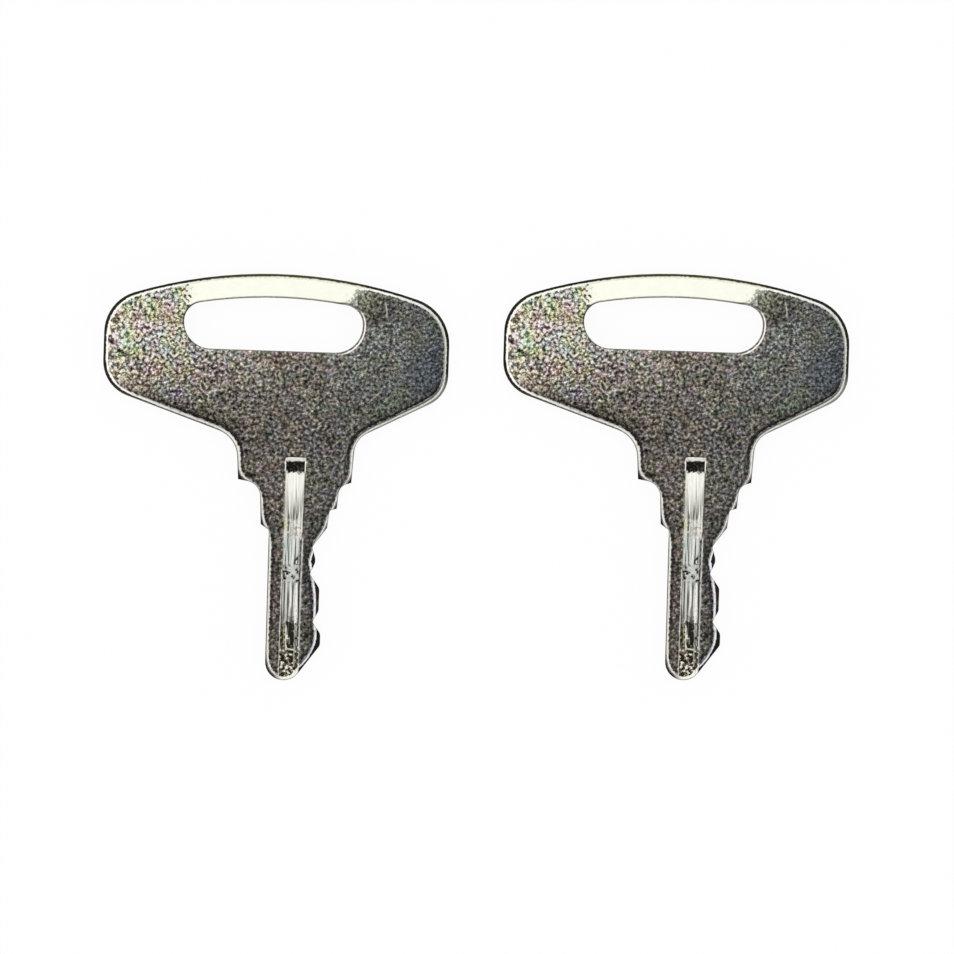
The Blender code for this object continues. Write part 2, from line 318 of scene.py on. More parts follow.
class EasedOutline:
    """How deep a point lies behind an outline whose sharp corners are eased off."""

    def __init__(self, loop, ease):
        a = np.array(loop)
        b = np.roll(a, -1, axis=0)
        margin = 4 * ease
        self.ease = ease
        self.low = a.min(axis=0) - margin
        columns, rows = np.ceil((a.max(axis=0) + margin - self.low) / EASE_CELL).astype(int)
        left = self.low[0] + EASE_CELL * np.arange(columns)
        cover = np.zeros((rows, columns))
        for row in range(rows):
            y = self.low[1] + EASE_CELL * (row + 0.5)
            spans = (a[:, 1] > y) != (b[:, 1] > y)
            start, end = a[spans], b[spans]
            share = (y - start[:, 1]) / (end[:, 1] - start[:, 1])
            cuts = np.sort(start[:, 0] + share * (end[:, 0] - start[:, 0]))
            for x0, x1 in zip(cuts[::2], cuts[1::2]):
                overlap = np.minimum(x1, left + EASE_CELL) - np.maximum(x0, left)
                cover[row] += np.clip(overlap, 0, None) / EASE_CELL
        spread = np.arange(-margin, margin + EASE_CELL / 2, EASE_CELL)
        kernel = np.exp(-((spread / ease) ** 2) / 2)
        for axis in (0, 1):
            cover = np.apply_along_axis(np.convolve, axis, cover, kernel / kernel.sum(), "same")
        self.cover = cover
        self.bell = NormalDist()

    def depth(self, point):
        x, y = (np.array(point) - self.low) / EASE_CELL - 0.5
        i, j = int(x), int(y)
        x, y = x - i, y - j
        near = self.cover[j : j + 2, i : i + 2]
        share = near[0] * (1 - y) + near[1] * y
        share = share[0] * (1 - x) + share[1] * x
        return self.ease * self.bell.inv_cdf(min(0.999, max(0.001, share)))


def in_groove_frame(point):
    """(across, along): how far right of the groove's middle, and how far below its top end."""
    offset = Matrix.Rotation(GROOVE_LEAN, 2) @ (point - GROOVE_TOP)
    return offset.x, -offset.y


def from_groove_frame(across, along):
    return GROOVE_TOP + Matrix.Rotation(-GROOVE_LEAN, 2) @ Vector((across, -along))


def into_groove(point):
    """How far inside the groove's edge a point lies; negative outside it."""
    across, along = in_groove_frame(point)
    side = GROOVE_WIDTH / 2 - abs(across)
    corner = (side + along - GROOVE_CORNER) / math.sqrt(2)
    inside = min(side, along, corner)
    if inside < 0 and side < GROOVE_CORNER and along < 0:
        return -math.hypot(max(0, -side), along)
    return inside


# Shape of the front


class KeyShape:
    """One key's outline and slot, and the height of its front over them."""

    def __init__(self, outline, slot):
        self.outline = spaced(outline, EDGE_STEP)
        self.slot = spaced(slot, EDGE_STEP)
        self.outline_tree = tree_of(spaced(outline, MEASURE_STEP))
        self.slot_tree = tree_of(spaced(slot, MEASURE_STEP))
        self.eased = EasedOutline(outline, CORNER_EASE)
        self.eased_teeth = EasedOutline(outline, TOOTH_EASE)

    def rims(self):
        loops = self.outline, self.slot
        return [pair for loop in loops for pair in zip(loop, loop[1:] + loop[:1])]

    def inset(self, point):
        return away(self.outline_tree, point)

    def turn(self, point):
        """How far a point lies outside the flat part of the front; negative on the flat."""
        low = smooth(*reversed(LOW_EDGE), point.y - LOW_EDGE_RISE * max(0.0, point.x - LOW_EDGE_BEND))
        low_width = LOW_ROLL_WIDTH + (SLOPE_ROLL_WIDTH - LOW_ROLL_WIDTH) * smooth(*NECK, point.y)
        turn = ROLL_WIDTH + (low_width - ROLL_WIDTH) * low - self.eased.depth(point)
        turn += TIP_WEAR[2] * smooth(*TIP_WEAR[:2], point.y)
        cut_edge = smooth(*reversed(CUT_EDGE_TOP), point.y) * smooth(*CUT_EDGE_LEFT, point.x)
        if cut_edge > 0:
            worn = sum(extra * smooth(half, 0, abs(point.y - y)) for y, half, extra in TOOTH_WEAR)
            turn += cut_edge * (TOOTH_ROLL_WIDTH + worn - self.eased_teeth.depth(point) - turn)
        return turn

    def beside_slot(self, point):
        return away(self.slot_tree, point)

    def front(self, point):
        lean = self.rail_drop(point) + self.lobe_drop(point)
        slot_roll = SLOT_ROLL[0] + (SLOT_ROLL[1] - SLOT_ROLL[0]) * smooth(*SLOT_RIGHT, point.x)
        rolled = roll_drop(self.turn(point)) + roll_drop(slot_roll - self.beside_slot(point))
        outside = min(1.0, max(0.0, 1 + into_groove(point) / LIP_WIDTH))
        return THICKNESS - lean - rolled - LIP_DROP * outside**2

    def rail_drop(self, point):
        below_crown = CROWN_RADIUS - (point - Vector(CROWN)).length
        up = min(1.0, max(0.0, 1 - below_crown / RAIL))
        window = smooth(*RAIL_ENDS[0], point.x) * (1 - smooth(*RAIL_ENDS[1], point.x))
        return RAIL * math.tan(RAIL_LEAN) * up * window

    def lobe_drop(self, point):
        if point.y < BOW_BOTTOM:
            return 0.0
        left = max(0.0, LOBE_START[0] - point.x)
        right = max(0.0, point.x - LOBE_START[1])
        return LOBE_DROOP[0] * left**2 + LOBE_DROOP[1] * right**2


def roll_drop(turn):
    """How far the rolled edge has fallen, at a distance outside the flat face."""
    round_end = ROLL_RADIUS * math.sin(ROLL_STEEPEST)
    turn = max(0.0, turn)
    on_round = min(turn, round_end)
    fall = ROLL_RADIUS - math.sqrt(ROLL_RADIUS**2 - on_round**2)
    return min(fall + (turn - on_round) * math.tan(ROLL_STEEPEST), ROLL_DEEPEST)


def groove_floor(point):
    """Height of the milled floor: a round run-out, long tool ridges and a torn end at the tip."""
    across, along = in_groove_frame(point)
    floor = THICKNESS - GROOVE_DEPTH
    if along < RUN_OUT:
        floor += CUTTER_RADIUS - math.sqrt(CUTTER_RADIUS**2 - (RUN_OUT - along) ** 2)
    ridges = noise.noise((across * 4.5, along * 0.22, 3.1))
    torn = smooth(*TORN_START, along) * noise.noise((across * 2.6, along * 1.7, 7.7))
    return min(floor + RIDGE_HEIGHT * ridges + TORN_HEIGHT * torn, THICKNESS - FLOOR_CLEAR)


# Mesh


def groove_edges():
    """The groove's edge as an open chain, from past the tip up one side, over the top and down."""
    half = GROOVE_WIDTH / 2
    side = np.arange(GROOVE_END, GROOVE_CORNER, -GROOVE_ROW)
    top = np.linspace(-half + GROOVE_CORNER, half - GROOVE_CORNER, 14)
    chain = [(-half, along) for along in side] + [(-half, GROOVE_CORNER)]
    chain += [(across, 0.0) for across in top]
    chain += [(half, GROOVE_CORNER)] + [(half, along) for along in side[::-1]]
    return [from_groove_frame(*place) for place in chain]


def edge_rings(shape):
    """Points on rings inside the outline and round the slot."""
    outer = shape.outline, shape.outline_tree, ROLL_RINGS
    inner = shape.slot, shape.slot_tree, SLOT_RINGS
    for loop, tree, rings in (outer, inner):
        inward = normals(loop)
        for ring in rings:
            ringed = [point + n * ring for point, n in zip(loop, inward)]
            yield from [point for point in ringed if away(tree, point) > ring - MEASURE_STEP]


def groove_rows():
    """Points along the groove's lips, over its top end and in rows across its floor."""
    half = GROOVE_WIDTH / 2
    for ring in LIP_RINGS:
        for along in np.arange(-ring, GROOVE_ROWS_END, GROOVE_ROW):
            yield from [from_groove_frame(side * (half + ring), along) for side in (-1, 1)]
        for across in np.arange(-half, half, EDGE_STEP):
            yield from_groove_frame(across, -ring)
    first, step = RUN_OUT_ROWS
    run_out = np.arange(first, RUN_OUT, step)
    for along in [*run_out, *np.arange(RUN_OUT, GROOVE_ROWS_END, GROOVE_ROW)]:
        for across in np.arange(-half + GROOVE_STEP / 2, half, GROOVE_STEP):
            yield from_groove_frame(across, along)


def open_grid(shape):
    """Points of a plain grid over the face, clear of every edge."""
    low = Vector((min(p.x for p in shape.outline), min(p.y for p in shape.outline)))
    high = Vector((max(p.x for p in shape.outline), max(p.y for p in shape.outline)))
    for row, y in enumerate(np.arange(low.y, high.y, FACE_STEP * math.sqrt(0.75))):
        for x in np.arange(low.x + FACE_STEP / 2 * (row % 2), high.x, FACE_STEP):
            point = Vector((x, y))
            clear = shape.inset(point) > EDGE_CLEAR and shape.beside_slot(point) > SLOT_CLEAR
            if clear and into_groove(point) < -GROOVE_CLEAR:
                yield point


def corner_grid(shape):
    """Points of a finer grid wherever a corner is rolled deep."""
    steps = np.arange(-CORNER_REACH, CORNER_REACH + 1) * CORNER_STEP
    for loop_point in shape.outline[::3]:
        if shape.turn(loop_point) < ROLL_WIDTH + DEEP_ROLL:
            continue
        for point in (loop_point + Vector((x, y)) for x in steps for y in steps):
            grid = Vector(round(c / CORNER_STEP) * CORNER_STEP for c in point)
            if shape.inset(grid) > CORNER_CLEAR and shape.turn(grid) > -FLAT_MARGIN:
                yield grid


def free_points(shape):
    """The points between the edges, none of them too close to an edge or to each other."""
    wanted = [*edge_rings(shape), *groove_rows(), *open_grid(shape), *corner_grid(shape)]
    held = inside(wanted, shape.rims())
    kept, cells = [], set()
    for point, metal in zip(wanted, held):
        cell = (round(point.x / CLOSEST), round(point.y / CLOSEST))
        edge_gap = min(shape.inset(point), shape.beside_slot(point))
        close = abs(into_groove(point)) < GROOVE_GAP or edge_gap < EDGE_GAP
        if not metal or cell in cells or close:
            continue
        cells.add(cell)
        kept.append(point)
    return kept


def inside(points, rims):
    """Whether each point lies inside the loops that the rims, as pairs of points, make up."""
    found = np.zeros(len(points), bool)
    spots = np.array(points)
    a, b = np.array(rims).swapaxes(0, 1)
    for start in range(0, len(spots), POINTS_AT_ONCE):
        some = slice(start, start + POINTS_AT_ONCE)
        x, y = spots[some, 0, None], spots[some, 1, None]
        spans = (a[:, 1] > y) != (b[:, 1] > y)
        rise = np.where(b[:, 1] == a[:, 1], 1.0, b[:, 1] - a[:, 1])
        cut = a[:, 0] + (y - a[:, 1]) / rise * (b[:, 0] - a[:, 0])
        found[some] = (spans & (x < cut)).sum(1) % 2
    return found


def metal_faces(spots, faces, rims):
    """The triangles inside the rims, each with its middle."""
    corners = [[spots[i] for i in face] for face in faces]
    middles = [(a + b + c) / 3 for a, b, c in corners]
    whole = [(b - a).cross(c - a) / 2 > SLIVER for a, b, c in corners]
    held = inside(middles, rims)
    return [(face, middle) for face, middle, *kept in zip(faces, middles, whole, held) if all(kept)]


def ring_edges(start, count):
    return [(start + i, start + (i + 1) % count) for i in range(count)]


class KeyMesh:
    """Collects a key's vertices and faces, each face with the finish that it takes."""

    FACE, WALL, GROOVE = range(3)
    MARKS = {"turn": -2.0, "rim": 2.0, "slot_gap": 2.0}  # as they stand far from every edge

    def __init__(self, shape):
        self.shape = shape
        self.verts = []
        self.marks = {name: [] for name in self.MARKS}
        self.faces = []
        self.finishes = []

    def vert(self, point, height, **marks):
        self.verts.append((point.x * MM, point.y * MM, height * MM))
        for name, plain in self.MARKS.items():
            self.marks[name].append(marks.get(name, plain))
        return len(self.verts) - 1

    def face(self, corners, finish):
        self.faces.append(corners)
        self.finishes.append(finish)

    def front(self):
        """The front and the groove's floor; returns the open edges that the walls hang from."""
        shape = self.shape
        chain = groove_edges()
        fixed = shape.outline + shape.slot + chain
        edges = ring_edges(0, len(shape.outline))
        edges += ring_edges(len(shape.outline), len(shape.slot))
        first = len(shape.outline) + len(shape.slot)
        edges += [(first + i, first + i + 1) for i in range(len(chain) - 1)]
        spots, _, faces, *_ = delaunay_2d_cdt(fixed + free_points(shape), edges, [], 0, 1e-6)
        land, floor, sides = {}, {}, {}
        for face, middle in metal_faces(spots, faces, shape.rims()):
            milled = into_groove(middle) > 0
            level = floor if milled else land
            for i in face:
                if i not in level:
                    level[i] = self.front_vert(spots[i], milled)
            self.face([level[i] for i in face], self.GROOVE if milled else self.FACE)
            for a, b in zip(face, face[1:] + face[:1]):
                sides[a, b] = milled
        open_edges = []
        for (a, b), milled in sides.items():
            if (b, a) not in sides:
                level = floor if milled else land
                upper = [level[a], level[b]]
                if not milled and b in floor:
                    upper.append(floor[b])
                if not milled and a in floor:
                    upper.insert(0, floor[a])
                open_edges.append((spots[a], spots[b], upper, (a, b)))
            elif milled and not sides[b, a]:
                self.face([land[a], land[b], floor[b], floor[a]], self.GROOVE)
        return open_edges

    def front_vert(self, point, milled):
        shape = self.shape
        height = groove_floor(point) if milled else shape.front(point)
        turn = max(self.MARKS["turn"], shape.turn(point))
        rim = min(self.MARKS["rim"], shape.inset(point))
        slot_gap = min(self.MARKS["slot_gap"], shape.beside_slot(point))
        return self.vert(point, height, turn=turn, rim=rim, slot_gap=slot_gap)

    def walls(self, open_edges):
        """The sheared walls under the open edges, and the flat back that closes them."""
        leans = {}
        for a, b, _, (start, end) in open_edges:
            out = Vector((b.y - a.y, a.x - b.x)).normalized()
            leans[start] = leans.get(start, Vector((0, 0))) + out
            leans[end] = leans.get(end, Vector((0, 0))) + out
        columns = {}
        back_spots = {}
        for a, b, _, ends in open_edges:
            for spot, key in ((a, ends[0]), (b, ends[1])):
                if key in columns:
                    continue
                out = leans[key].normalized()
                rows = zip(WALL_ROWS, WALL_INSET)
                columns[key] = [self.vert(spot - out * inset, z) for z, inset in rows]
                back_spots[key] = spot - out * BACK_INSET
                columns[key].append(self.vert(back_spots[key], 0.0))
        for _, _, upper, (start, end) in open_edges:
            left, right = columns[start], columns[end]
            self.face(([left[0]] + upper + [right[0]])[::-1], self.WALL)
            for row in range(len(left) - 1):
                self.face([left[row], right[row], right[row + 1], left[row + 1]][::-1], self.WALL)
        self.back(back_spots, columns, [ends for *_, ends in open_edges])

    def back(self, spots, columns, edges):
        """The flat back, inside the feet of the walls."""
        keys = list(spots)
        rank = {key: i for i, key in enumerate(keys)}
        rim = [spots[key] for key in keys]
        low = [min(p[i] for p in rim) for i in (0, 1)]
        high = [max(p[i] for p in rim) for i in (0, 1)]
        grid = [
            Vector((x, y))
            for x in np.arange(low[0], high[0], BACK_STEP)
            for y in np.arange(low[1], high[1], BACK_STEP)
        ]
        rims = [(spots[a], spots[b]) for a, b in edges]
        metal = [point for point, held in zip(grid, inside(grid, rims)) if held]
        gaps = [min(self.shape.inset(point), self.shape.beside_slot(point)) for point in metal]
        clear = [point for point, gap in zip(metal, gaps) if gap > BACK_CLEAR]
        links = [(rank[a], rank[b]) for a, b in edges]
        points, _, faces, origins, *_ = delaunay_2d_cdt(rim + clear, links, [], 0, 1e-6)
        verts = []
        for point, origin in zip(points, origins):
            on_rim = origin and origin[0] < len(rim)
            verts.append(columns[keys[origin[0]]][-1] if on_rim else self.vert(point, 0.0))
        for face, _ in metal_faces(points, faces, rims):
            self.face([verts[i] for i in face][::-1], self.FACE)

    def mesh(self, name, finishes):
        mesh = bpy.data.meshes.new(name)
        mesh.from_pydata(self.verts, [], self.faces)
        mesh.polygons.foreach_set("material_index", self.finishes)
        for mark, values in self.marks.items():
            mesh.attributes.new(mark, "FLOAT", "POINT").data.foreach_set("value", values)
        for finish in finishes:
            mesh.materials.append(finish)
        mesh.validate()
        mesh.shade_smooth()
        mesh.set_sharp_from_angle(angle=SHARP)
        return mesh


# Finishes


class Value:
    """A number that changes over a surface: arithmetic on it adds Math nodes."""

    def __init__(self, tree, socket):
        self.tree = tree
        self.socket = socket

    def math(self, operation, *numbers):
        return self.tree.node("ShaderNodeMath", {"operation": operation}, dict(enumerate(numbers)))

    def __add__(self, other):
        return self.math("ADD", self, other)

    def __sub__(self, other):
        return self.math("SUBTRACT", self, other)

    def __rsub__(self, other):
        return self.math("SUBTRACT", other, self)

    def __mul__(self, other):
        return self.math("MULTIPLY", self, other)

    def __truediv__(self, other):
        return self.math("DIVIDE", self, other)

    def __pow__(self, other):
        return self.math("POWER", self, other)

    __radd__ = __add__
    __rmul__ = __mul__

    def size(self):
        return self.math("ABSOLUTE", self)

    def most(self, other):
        return self.math("MAXIMUM", self, other)

    def between(self, low, high, start=0.0, end=1.0):
        """Start below low, end above high, eased between them."""
        sockets = {0: self, 1: low, 2: high, 3: start, 4: end}
        return self.tree.node("ShaderNodeMapRange", {"interpolation_type": "SMOOTHSTEP"}, sockets)


class Nodes:
    """A node tree that a finish, the floor or the studio is written into."""

    def __init__(self, owner):
        owner.use_nodes = True
        self.tree = owner.node_tree
        self.tree.nodes.clear()

    def node(self, kind, settings=(), sockets=(), out=0):
        made = self.tree.nodes.new(kind)
        for name, value in dict(settings).items():
            setattr(made, name, value)
        for key, value in dict(sockets).items():
            if isinstance(value, Value):
                self.tree.links.new(value.socket, made.inputs[key])
            else:
                made.inputs[key].default_value = value
        return Value(self, made.outputs[out]) if made.outputs else None

    def mix(self, share, first, second, blend="MIX"):
        """Two colours mixed; a plain colour is given as three numbers."""
        first, second = (c if isinstance(c, Value) else (*c, 1.0) for c in (first, second))
        settings = {"data_type": "RGBA", "blend_type": blend, "clamp_result": False}
        return self.node("ShaderNodeMix", settings, {0: share, 6: first, 7: second}, out=2)

    def tint(self, colour, red, green=None, blue=None):
        """A colour made lighter or darker, by one tone or by one for each of its parts."""
        tones = {0: red, 1: green or red, 2: blue or red}
        return self.mix(1.0, colour, self.node("ShaderNodeCombineColor", {}, tones), "MULTIPLY")

    def parts(self, colour):
        """The three parts of a colour, each a number of its own."""
        return [self.node("ShaderNodeSeparateColor", {}, {0: colour}, out=i) for i in range(3)]

    def attribute(self, name):
        """A number that the mesh carries at each of its points."""
        return self.node("ShaderNodeAttribute", {"attribute_name": name}, out="Fac")


def patch(x, y, middle, half_size):
    """1 in the middle of an oval patch, easing to 0 at its edge."""
    across, along = (x - middle[0]) / half_size[0], (y - middle[1]) / half_size[1]
    return (across * across + along * along).between(0.0, 1.0, 1.0, 0.0)


def scratch(x, y, start, end, width):
    """1 along a straight scratch, 0 beside it."""
    way = Vector(end) - Vector(start)
    length = way.length
    way /= length
    along = (x - start[0]) * way.x + (y - start[1]) * way.y
    beside = ((y - start[1]) * way.x - (x - start[0]) * way.y).size()
    ends = along.between(-width, width) * along.between(length - width, length + width, 1.0, 0.0)
    return beside.between(width * 0.3, width, 1.0, 0.0) * ends


def band(value, low, high, soft):
    """1 between two numbers, easing to 0 outside them."""
    return value.between(low - soft, low + soft) * value.between(high - soft, high + soft, 1.0, 0.0)


def groove_place(x, y):
    """How far right of the groove's middle and how far below its top end, as in_groove_frame."""
    along = GROOVE_TOP.y - y
    return x - GROOVE_TOP.x + math.tan(GROOVE_LEAN) * along, along


class Finish(Nodes):
    """A finish of the key's metal: tints painted over a first colour, about the key's own axis."""

    def __init__(self, name, colour):
        self.material = bpy.data.materials.new(name)
        super().__init__(self.material)
        point = self.node("ShaderNodeTexCoord", out="Object")
        scale = {"operation": "SCALE"}
        self.point = self.node("ShaderNodeVectorMath", scale, {0: point, "Scale": 1 / MM})
        axes = [self.node("ShaderNodeSeparateXYZ", {}, {0: self.point}, out=i) for i in range(3)]
        self.x, self.y, self.z = axes
        self.colour = colour

    def speckle(self, size, detail=1.0, stretch=None, out=0):
        """Noise whose grains are about this many millimetres across."""
        point = self.point
        if stretch:
            sockets = {0: point, 1: stretch}
            point = self.node("ShaderNodeVectorMath", {"operation": "MULTIPLY"}, sockets)
        sockets = {"Vector": point, "Scale": 1 / size, "Detail": detail, "Roughness": 0.55}
        return self.node("ShaderNodeTexNoise", {"noise_dimensions": "3D"}, sockets, out)

    def paint(self, share, tint, blend="MIX"):
        """Lays a tint over the colour so far."""
        self.colour = self.mix(share, self.colour, tint, blend)

    def metal(self, roughness, height, depth):
        """The finished material: bare metal with a relief this many millimetres deep."""
        sockets = {"Strength": 1.0, "Distance": depth * MM, "Height": height}
        bump = self.node("ShaderNodeBump", {}, sockets)
        sockets = {"Base Color": self.colour, "Metallic": 1.0, "Roughness": roughness, "Normal": bump}
        shader = self.node("ShaderNodeBsdfPrincipled", {}, sockets)
        self.node("ShaderNodeOutputMaterial", {}, {"Surface": shader})
        return self.material


class NickelFace(Finish):
    """Plated face: crystal grain, painted lighter and warmer on the left lobe and darker and cooler on the
    right, with painted highlights on the rolled edges.
    """

    def __init__(self):
        super().__init__("nickel_face", WARM_PLATE)
        x, y = self.x, self.y
        self.turn, self.rim, self.slot_gap = map(self.attribute, ("turn", "rim", "slot_gap"))
        self.on_front = self.z.between(0.3, 0.9)
        self.grain, self.relief, self.worn = self.parts(self.speckle(GRAIN, 1.0, out=1))
        self.mottle, self.cloud = self.speckle(MOTTLE, 2.0), self.speckle(CLOUD, 2.0)
        low = y - LOW_EDGE_RISE * (x - LOW_EDGE_BEND).most(0.0)
        self.low_edge = low.between(*LOW_EDGE, 1.0, 0.0)
        self.cut_edge = y.between(*CUT_EDGE_TOP, 1.0, 0.0) * x.between(*CUT_EDGE_LEFT)
        self.plain_edge = self.low_edge * (1 - self.cut_edge)

    def made(self):
        """The whole finish, painted from the plate to the lips of the groove."""
        self.plate()
        self.marks()
        rail = self.rail()
        bright = self.rolled_edge(rail)
        self.unlit_edge()
        self.slot_edge()
        lips = self.groove_lips()
        flat = (1 - bright) * (1 - 0.8 * rail) * (1 - lips)
        return self.metal(PLATE_ROUGHNESS, (self.relief - 0.5) * flat, PLATE_RELIEF)

    def plate(self):
        """The grained plate, with its blotches and its stray hues, painted paler on the left lobe and
        darker to the right and down the key as painted light and shade.
        """
        x, y, mottle = self.x, self.y, self.mottle
        left_lobe = (x + 2.5 * mottle).between(-15, 1.0, 1.0, 0.0) * y.between(7.0, 15.5)
        # Painted shade greys and cools the plate to the right; painted light makes the left lobe paler
        self.paint(x.between(-4, 10), SHADED_PLATE)
        self.paint(x.between(10.5, 16), DEEP_SHADED_PLATE)
        self.paint(left_lobe, LIT_LOBE_PLATE)
        centre = band(x, -5, 6, 3)
        contrast = x.between(-13, -2, 2.75, 2.2) - x.between(2, 12, 0.0, 0.2)
        speck = (1 + (self.grain - 0.5) * contrast).most(0.3) ** 3
        blotches = 1 + (0.5 - 0.25 * centre) * (mottle - 0.5)
        tone = speck * blotches * self.shade(centre) * (1 - self.rim_shade())
        strays = [least + more * left_lobe for least, more in TINGE]
        hues = self.parts(self.speckle(HUE, 2.0, out=1))
        tones = [tone * hue.between(0.36, 0.64, 1 - stray, 1 + stray) for hue, stray in zip(hues, strays)]
        self.colour = self.tint(self.colour, *tones)

    def shade(self, centre):
        """Cloudy, darker down the key, and darkest on the right of the blade."""
        x, y = self.x, self.y
        shade = y.between(-1, 16, 0.51, 1.0) * (1 + (0.6 - 0.25 * centre) * (self.cloud - 0.5))
        shade = shade * (1 + 0.4 * band(y, -3, 3, 1.5))
        blade = y.between(-5, -3, 1.0, 0.0)
        return shade * (1 + blade * x.between(-1, 1, 0.22, -0.17))

    def rim_shade(self):
        """How much darker the plate is beside its edge, and at the rail's right end."""
        x, y, turn = self.x, self.y, self.turn
        right_edge = turn.between(-1.3, -0.15) * (x - y).between(-2, 10, 0.1, 0.45) * y.between(3, 6)
        left_slope = band(x, -17, -5, 2) * band(y, 4, 8.5, 1)
        left_slope = turn.between(-1.6, -0.15, 0.0, 0.4) * left_slope
        return right_edge + left_slope + 0.4 * patch(x, y, (8.2, 18.7), (2.8, 2.6))

    def marks(self):
        """Stains and scratches of use."""
        for middle, half_size, tint in STAINS:
            self.paint(patch(self.x, self.y, middle, half_size) * self.mottle, tint, "COLOR")
        for start, end, width, share in SCRATCHES:
            mark = scratch(self.x + 0.5 * (self.mottle - 0.5), self.y, start, end, width)
            self.paint(share * mark, BARE_METAL_AND_HIGHLIGHT)

    def rail(self):
        """The rail over the slot, painted with a bright highlight ragged at both ends; returns where it
        is.
        """
        x, y = self.x, self.y
        below_crown = CROWN_RADIUS - ((x - CROWN[0]) ** 2 + (y - CROWN[1]) ** 2) ** 0.5
        ragged = 3.0 * (self.grain - 0.5) + 2.0 * (self.mottle - 0.5)
        rail = below_crown.between(RAIL - 0.1, RAIL + 0.3, 1.0, 0.0) * y.between(15.5, 16.5)
        rail = rail * (x - below_crown * 0.3 + ragged).between(-12.9, -12.4)
        rail = rail * (x + below_crown * 0.9 + ragged).between(6.6, 7.3, 1.0, 0.0) * self.on_front
        # Painted highlight: the rail's pale colour stands in for the light it mirrors
        self.paint(rail, self.tint(RAIL_HIGHLIGHT, 0.95 + 0.1 * self.mottle))
        return rail

    def rolled_edge(self, rail):
        """Painted shade as a dark line inside the rolled edge, and a painted highlight on the edge itself;
        returns where the highlight is.
        """
        x, y, turn, worn = self.x, self.y, self.turn, self.worn
        inner_line = band(turn + 0.3 * (worn - 0.5), -0.3, -0.02, 0.05) * self.low_edge
        inner_line = inner_line * worn.between(0.3, 0.5, 0.75, 1.0)
        # Painted shade: a dark line just inside the rolled edge
        self.paint(inner_line * y.between(0, 3, 0.55, 0.92), INNER_SHADE_LINE)
        bright = (turn + 0.09 * x.between(8, 14) + 0.3 * (self.grain - 0.5)).between(0.0, 0.06)
        right_collar = x.between(0.5, 2) * y.between(1, 3, 1.0, 0.0)
        dull = self.plain_edge * (1 - right_collar) + x.between(8, 15)
        shine = self.mix(rail, ROLL_HIGHLIGHT, RAIL_ROLL_HIGHLIGHT)
        shine = self.mix(0.9 * dull, shine, DULL_ROLL_HIGHLIGHT)
        shine = self.mix(self.cut_edge, shine, TOOTH_HIGHLIGHT)
        # Painted highlight on the rolled edge, dimmer where the edge is plain or on the right
        self.paint(bright * worn.between(0.3, 0.55, 0.6, 1.0), shine)
        return bright

    def unlit_edge(self):
        """Painted shade: the thin dark line on the very rim, and the steep foot of the roll that no light
        reaches.
        """
        x, y, turn, worn, cut_edge = self.x, self.y, self.turn, self.worn, self.cut_edge
        thin_line = self.rim.between(0.07, 0.13, 0.8, 0.0) * (1 - 0.5 * cut_edge)
        # Painted shade: a thin dark line on the very rim
        self.paint(thin_line * x.between(0, 3, 1.0, 0.75), RIM_SHADE_LINE)
        late = 0.08 * cut_edge + 0.09 * self.plain_edge * y.between(*NECK)
        tip_end = patch(x, y, (-0.2, -21.1), (1.5, 1.4))
        line = (turn - late + 0.2 * (worn - 0.5)).between(0.21, 0.29) * (1 - 0.9 * tip_end)
        crown = patch(x, y, (-1.5, 22.0), (11.0, 4.0))
        edge_shade = self.mix(crown, NEAR_BLACK, CROWN_EDGE_SHADE)
        edge_shade = self.mix(self.plain_edge, edge_shade, self.mix(x.between(0, 3), *LOW_EDGE_SHADE))
        corner = (turn + y.between(*NECK, 0.16, 0.0)).between(0.52, 0.58)
        edge_shade = self.mix(corner.most(cut_edge), edge_shade, CORNER_SHADE)
        long_tooth = cut_edge * band(y, -13.6, -11.0, 0.6)
        edge_shade = self.mix(long_tooth * worn.between(0.48, 0.62), edge_shade, TOOTH_BROWN_SHADE)
        # Painted shade on the steep foot of the roll: olive at the crown, greyer low down, blackest in the
        # corners, browner at the long tooth
        self.paint(line, edge_shade)

    def slot_edge(self):
        """Painted shade as a thin line round the slot, and a painted highlight on the rim at the slot's
        right end.
        """
        top = self.y.between(16.6, 17.6)
        line = (self.slot_gap - 0.06 * top).between(0.08, 0.17, 1.0, 0.0)
        line = line * self.worn.between(0.3, 0.5, 0.7, 1.0) * (0.9 - 0.25 * top)
        # Painted shade: a thin dark line round the slot
        self.paint(line, SLOT_SHADE_LINE)
        right_end = self.x.between(3.5, 5.5) * self.y.between(17.6, 18.6, 1.0, 0.0)
        # Painted highlight on the rim at the slot's right end
        self.paint(band(self.slot_gap, 0.2, 0.34, 0.04) * right_end, BARE_METAL_AND_HIGHLIGHT)

    def groove_lips(self):
        """Painted highlights on the groove's lips and painted shadows right of it; returns where the
        highlights are.
        """
        across, along = groove_place(self.x, self.y)
        beside = across.size() - GROOVE_WIDTH / 2
        lip = beside.between(0.07, 0.14, 1.0, 0.0) * self.on_front
        right = across.between(-0.1, 0.1)
        top_lip = along.between(-0.16, -0.1) * along.between(1.2, 1.7, 1.0, 0.0)
        right_lip = right * band(along, 8.3, 22.8, 0.4) * along.between(12, 14, 0.7, 0.5)
        left_lip = 0.55 * (1 - right) * band(along, 12.0, 22.8, 0.8)
        shine = lip * (top_lip + right_lip + left_lip) * self.mottle.between(0.35, 0.6, 0.5, 1.0)
        # Painted highlight along the groove's lips
        self.paint(shine, LIP_HIGHLIGHT)
        high_shadow = band(beside, 0.04, 0.22, 0.05) * band(along, 2.6, 6.0, 0.6)
        low_shadow = band(beside, 0.17, 0.5, 0.06) * band(along, 8.3, 13.2, 0.4)
        self.paint(0.65 * right * self.on_front * (high_shadow + low_shadow), LIP_SHADOW)
        return shine


